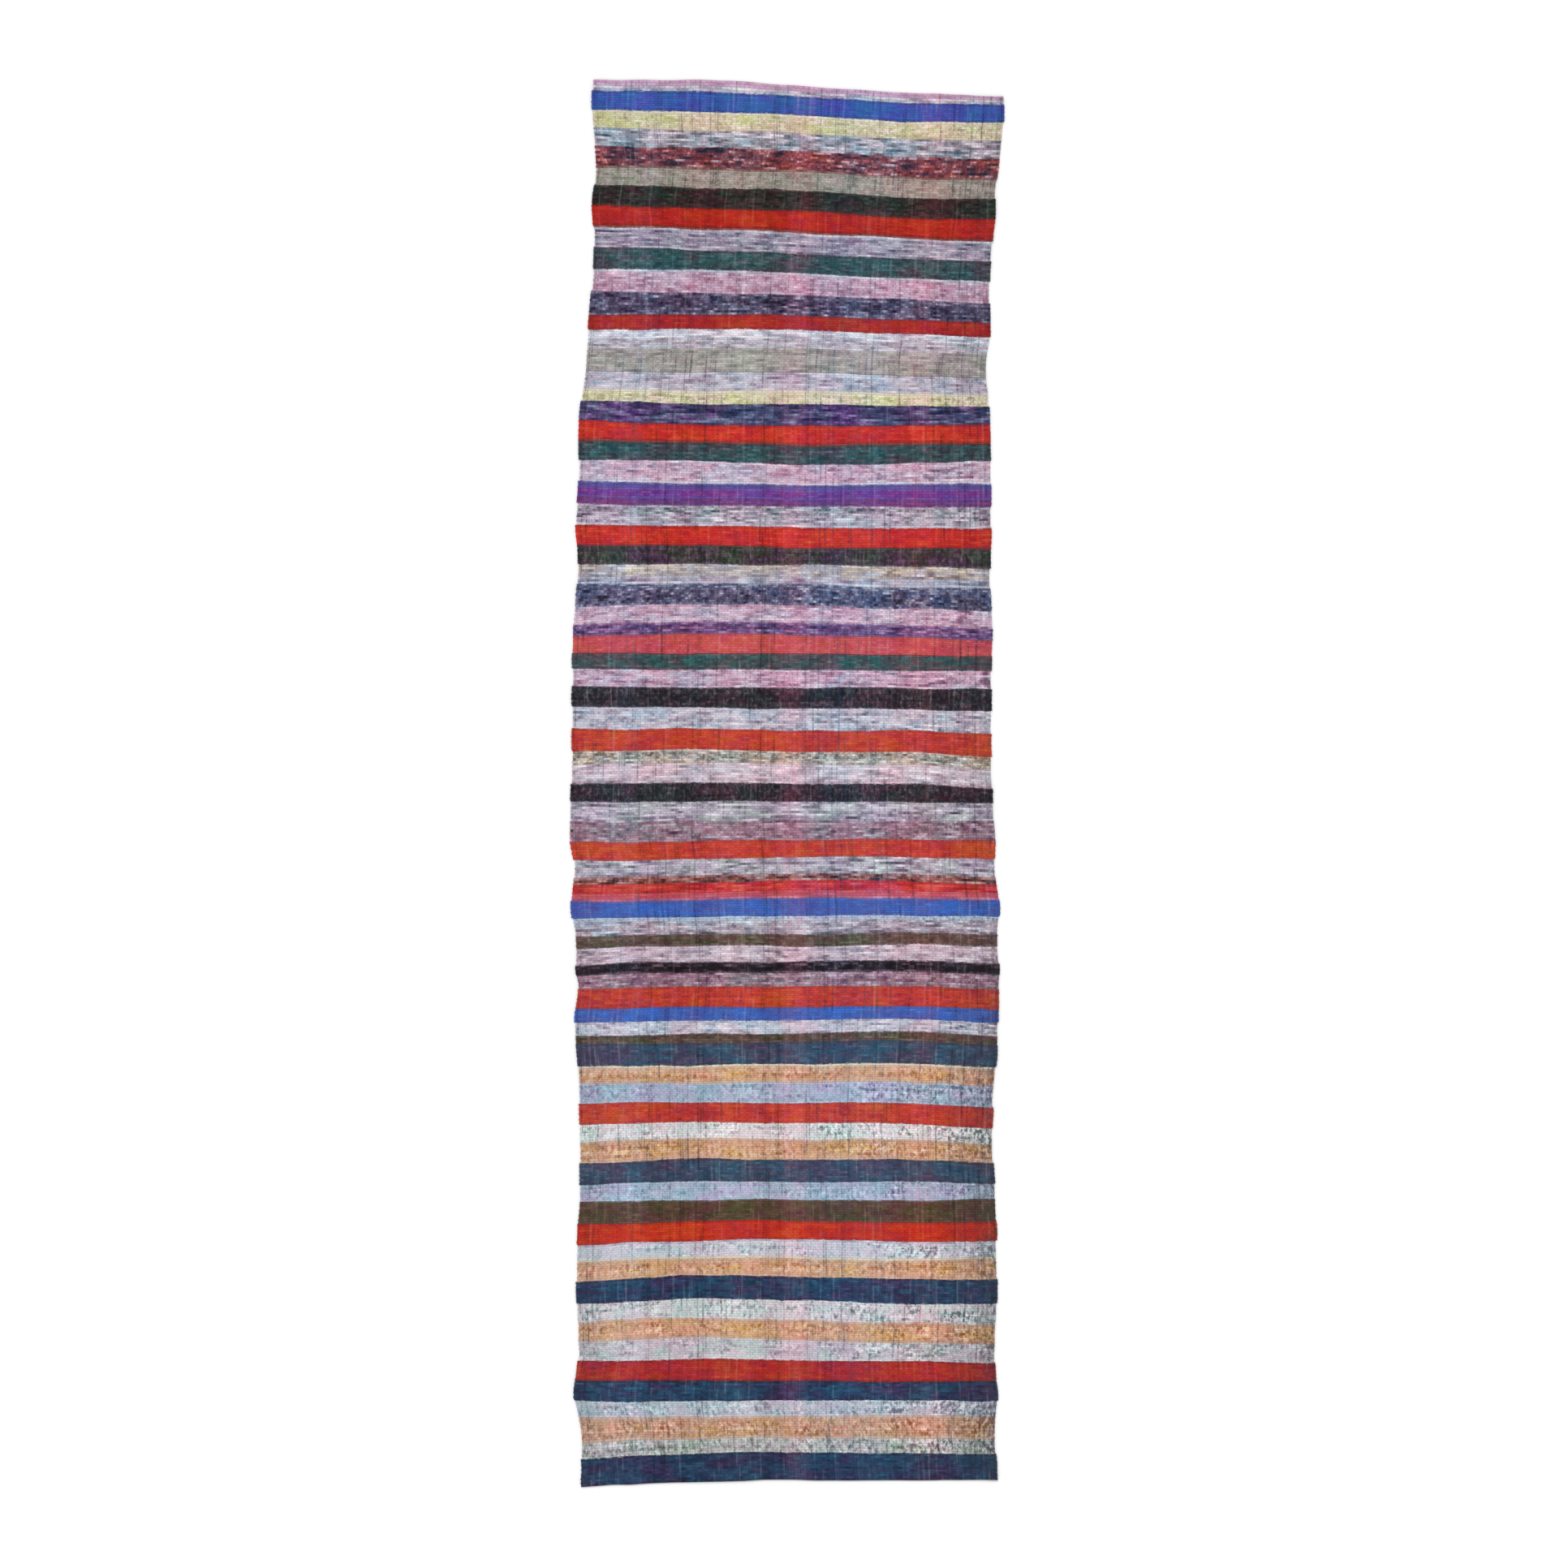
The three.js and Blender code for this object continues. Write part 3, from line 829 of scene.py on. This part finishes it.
# heather and speckled rags
rag("blue_grey_heather", ["40444E", "9E9CA8", "E8E6EE"],
    fleck=0.63, streak=9, dash=0.1, drift=("B8A6B6", "869EB2", 0.75), reach=SLACK)
rag("mauve_heather", ["3E3652", "9890A4", "D8D0DC"],
    fleck=0.57, streak=9, dash=0.1, drift=("A88EA8", "8E94A4", 0.6), warp_show=0.85, reach=SLACK)
rag("grey_heather", ["4A4456", "ACA6B4", "ECE8F0"],
    fleck=0.56, streak=8, dash=0.1, drift=("BA9EBC", "A2B4AC", 0.45), warp_show=0.8, gather=0.2,
    reach=SLACK)
rag("dove_heather", ["524A58", "A295A1", "E2DCE4"],
    fleck=0.65, streak=9, dash=0.1, drift=("BCA0B4", "9CAEC4", 0.65), warp_show=0.8, gather=0.2,
    reach=SLACK)
rag("pearl_heather", ["6C6472", "B8B0BE", "E2DCE6"],
    fleck=0.66, streak=9, dash=0.1, drift=("CCB8C6", "B6C2CA", 0.6), warp_show=0.8, reach=SLACK)
rag("lilac_heather", ["746C80", "BBB8C4", "ECE8F2"],
    fleck=0.56, streak=9, dash=0.15, drift=("B6A0B8", "98A8C0", 0.68), warp_show=0.85, reach=SLACK)
rag("silver_heather", ["7A7282", "C4BEC6", "F2EEF4"],
    fleck=0.55, streak=6, dash=0.55, drift=("CAB4C2", "B2C8C2", 0.75), speck=("64606C", 0.35),
    warp_show=0.8, gather=0.8, edge=("D0CAD2", 0.4), reach=SLACK)
rag("sky_heather", ["5E5E72", "C1BBC9", "F0EEF4"],
    fleck=0.53, streak=6, dash=0.2, drift=("C8B4C6", "ACC0D4", 0.68), warp_show=0.8, gather=0.3,
    reach=SLACK)
rag("oat_heather", ["6E636E", "B2A8AC", "E8E2E4"],
    fleck=0.55, streak=7.5, dash=0.1, drift=("C2B29C", "A6ACBC", 0.75), warp_show=0.8, gather=0.3,
    reach=SLACK)
rag("pink_heather", ["74506C", "C6A8BE", "F2E0EE"],
    fleck=0.55, streak=6, dash=0.15, drift=("D09CB8", "B6B4CC", 0.68), warp_show=0.8, gather=0.3,
    reach=SLACK)
rag("pink_mottle", ["844C68", "BC9CB2", "E8D2E2"],
    fleck=0.58, streak=6, dash=0.2, drift=("C88EAC", "B4A2BA", 0.55), reach=SLACK)
rag("blush_heather", ["766370", "C8B4C2", "F0E6EE"],
    fleck=0.56, streak=7.5, dash=0.15, drift=("D0ACBC", "BEB6C6", 0.5), warp_show=0.8, gather=0.3,
    reach=SLACK)
rag("ash_heather", ["4C4656", "B2A9B8", "E8E4EE"],
    fleck=0.64, streak=6.5, dash=0.1, drift=("BCA0B8", "9CB0B8", 0.6), warp_show=0.8, gather=0.3,
    reach=SLACK)
rag("dusky_mauve", ["4E3246", "92727F", "CEB6C8"],
    fleck=0.62, streak=5, dash=0.2, drift=("92647C", "7C7E88", 0.6), warp_show=0.85, gather=0.3)
rag("violet_navy", ["1C163A", "4A446A", "928EAE"],
    fleck=0.69, streak=9, dash=0.1, drift=("5C2E74", "344870", 0.65), edge=("242040", 0.6), reach=FIRM)
rag("navy_speckle", ["181228", "38304A", "554E69", "7E7895", "C0BCD2"],
    fleck=0.55, drift=("4C3856", "36405E", 0.6), reach=FIRM)
rag("denim_speckle", ["1E1A28", "3F3B54", "5D5974", "838098", "BCBCCE"],
    fleck=0.63, streak=3, dash=0.1, drift=("56486E", "40507A", 0.68), warp_show=0.85)
rag("brown_speckle", ["3E1E1C", "9A5A56", "CCA49C"],
    fleck=0.8, streak=7, drift=("945044", "74606E", 0.6), warp_show=0.85)
rag("oat_speckle", ["4E4A46", "AEA9AA", "EEEAEA"],
    fleck=0.66, dash=0.2, drift=("C4AC94", "A0ACA2", 0.7), edge=("D4A890", 0.4), warp_show=0.85,
    reach=SLACK)
rag("maroon_print", ["28222E", "602834", "7C3844", "A05256", "C8A0A8"],
    fleck=0.85, streak=5, dash=0.1, drift=("903C34", "54384C", 0.65))

GRID_THICKNESS = 0.01  # of the plain grid, before its points are placed


def closed_grid(name, row_count):
    """A grid of faces from -1 to 1 with a little thickness, closed all round."""
    bpy.ops.object.select_all(action="DESELECT")
    bpy.ops.mesh.primitive_grid_add(x_subdivisions=COLUMN_COUNT, y_subdivisions=row_count, size=2)
    grid = bpy.context.object
    grid.name = grid.data.name = name
    solidify = grid.modifiers.new("cloth thickness", "SOLIDIFY")
    solidify.thickness = GRID_THICKNESS
    solidify.offset = -1
    bpy.ops.object.modifier_apply(modifier=solidify.name)
    return grid


def woven_length(name, first_row, last_row, form, stripes):
    """One woven length, from one row of the cloth's points to another, closed all round."""
    row_count = last_row - first_row
    cloth = closed_grid(name, row_count)
    mesh = cloth.data

    # each point of the grid goes to its place in the cloth
    at = np.zeros(len(mesh.vertices) * 3)
    mesh.vertices.foreach_get("co", at)
    at = at.reshape(-1, 3)
    column = np.rint((at[:, 0] + 1) / 2 * COLUMN_COUNT).astype(int)
    row = first_row + np.rint((1 - at[:, 1]) / 2 * row_count).astype(int)
    on_top = at[:, 2] > -GRID_THICKNESS / 2
    placed = np.where(on_top[:, None], form["upper"][row, column], form["under"][row, column])
    mesh.vertices.foreach_set("co", placed.ravel())

    # each face belongs to a stripe, and its corners count the warps and picks
    corner_point = np.zeros(len(mesh.loops), int)
    mesh.loops.foreach_get("vertex_index", corner_point)
    corners = corner_point.reshape(-1, 4)
    pick_at = form["pick_at"]
    starts = np.array([s["pick"] for s in stripes])
    counts = np.array([s["picks"] for s in stripes])
    face_pick = pick_at[row[corners]].mean(1)
    face_stripe = np.searchsorted(starts, face_pick, side="right") - 1
    first = starts[face_stripe]
    count = counts[face_stripe]
    picks = pick_at[row[corner_point]]
    across = form["share"][column[corner_point]]
    down = (row[corner_point] - first_row) / row_count
    under_face = (~on_top[corners]).all(1)
    fill_map(mesh, "Weave", across * WARP_COUNT, picks)
    fill_map(mesh, "Stripe", picks - first.repeat(4), (first + count).repeat(4) - picks)
    fill_map(mesh, "OFBake", *baked_places(across, down, on_top[corner_point], under_face.repeat(4)))

    # and it knows the tone of the rag in the nearer of the two stripes beside it
    nearer = np.where(face_pick - first < count / 2, -1, 1)
    neighbour = np.clip(face_stripe + nearer, 0, len(stripes) - 1)
    tones = np.array([middle_tones[s["rag"]] for s in stripes])[neighbour].repeat(4, axis=0)
    neighbours = mesh.color_attributes.new("Neighbour", "FLOAT_COLOR", "CORNER")
    neighbours.data.foreach_set("color", tones.ravel())

    used = sorted({stripes[i]["rag"] for i in set(face_stripe.tolist())})
    for rag_name in used:
        mesh.materials.append(rag_materials[rag_name])
    index = np.array([used.index(s["rag"]) if s["rag"] in used else 0 for s in stripes])
    mesh.polygons.foreach_set("material_index", index[face_stripe])
    mesh.update()
    bpy.ops.object.shade_smooth_by_angle(angle=math.radians(80))
    return cloth


# The layout of the baked picture, in shares of its sides: the top with its edges, and the underside below.
SIDE_MARGIN = 0.012
TOP_START, TOP_DEPTH = 0.985, 0.625
UNDER_START, UNDER_DEPTH = 0.33, 0.32
LEFT_EDGE, RIGHT_EDGE, UPPER_EDGE, LOWER_EDGE = 0.002, 0.998, 0.995, 0.35


def baked_places(across, down, on_top, under_face):
    """Where the corners of the faces lie in the baked picture."""
    u = SIDE_MARGIN + across * (1 - 2 * SIDE_MARGIN)
    v_top = TOP_START - down * TOP_DEPTH
    v_under = UNDER_START - down * UNDER_DEPTH
    # a face of the edge runs from the top's border outwards
    edge_u = np.where(across == 0, LEFT_EDGE, np.where(across == 1, RIGHT_EDGE, u))
    edge_v = np.where(down == 0, UPPER_EDGE, np.where(down == 1, LOWER_EDGE, v_top))
    u_out = np.where(on_top | under_face, u, edge_u)
    v_out = np.where(under_face, v_under, np.where(on_top, v_top, edge_v))
    return u_out, v_out


def fill_map(mesh, name, first, second):
    """Gives every corner of the faces its two values in one of the cloth's maps."""
    layer = mesh.uv_layers.get(name) or mesh.uv_layers.new(name=name)
    layer.data.foreach_set("uv", np.stack([first, second], axis=-1).ravel())


def lay_runner():
    """The five woven lengths, end to end, in place of the CAD's one panel."""
    stripes, pick_count = stripe_rows()
    form = cloth_form(stripes, pick_count)
    first_picks = [next(s["pick"] for s in stripes if s["length"] == i) for i in range(len(STRIPES))]
    rows = [2 * pick for pick in first_picks + [pick_count]]
    for i, (first_row, last_row) in enumerate(zip(rows, rows[1:])):
        piece = woven_length(f"woven_length_{i + 1}", first_row, last_row, form, stripes)
        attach(piece, "root")
        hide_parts("woven_cloth")


FLOOR_SIZE = 80  # metres


def pale_floor():
    bpy.ops.object.select_all(action="DESELECT")
    bpy.ops.mesh.primitive_plane_add(size=FLOOR_SIZE)
    floor = bpy.context.object
    floor.name = floor.data.name = "floor"
    material = bpy.data.materials.new("pale_floor")
    material.use_nodes = True
    shader = material.node_tree.nodes["Principled BSDF"]
    shader.inputs["Base Color"].default_value = (0.88, 0.88, 0.88, 1)
    shader.inputs["Roughness"].default_value = 0.9
    shader.inputs["Specular IOR Level"].default_value = 0.1
    floor.data.materials.append(material)


def studio_light():
    world = bpy.data.worlds.new("studio")
    bpy.context.scene.world = world
    world.use_nodes = True
    background = world.node_tree.nodes["Background"]
    background.inputs["Color"].default_value = (1, 1, 1, 1)
    background.inputs["Strength"].default_value = 0.92
    bpy.ops.object.light_add(type="SUN", rotation=(math.radians(-40), math.radians(-14), 0))
    sun = bpy.context.object
    sun.name = "soft_light"
    sun.data.energy = 1.1
    sun.data.angle = math.radians(25)


def overhead_camera():
    """Straight above the cloth. The photograph is 1932 pixels wide, and a pixel is 1.55 mm."""
    pixels, pixel_size = 1932, 1.55 * MM
    lens, sensor = 100, 36
    bpy.ops.object.camera_add()
    camera = bpy.context.object
    camera.name = "camera"
    camera.data.lens = lens
    camera.data.sensor_width = sensor
    camera.location = (-4 * pixel_size, -1 * pixel_size, pixels * pixel_size * lens / sensor)
    camera.rotation_euler = (0, 0, 0)
    camera.data.clip_end = 100
    bpy.context.scene.camera = camera
    bpy.context.scene.view_settings.view_transform = "Standard"


lay_runner()
pale_floor()
studio_light()
overhead_camera()
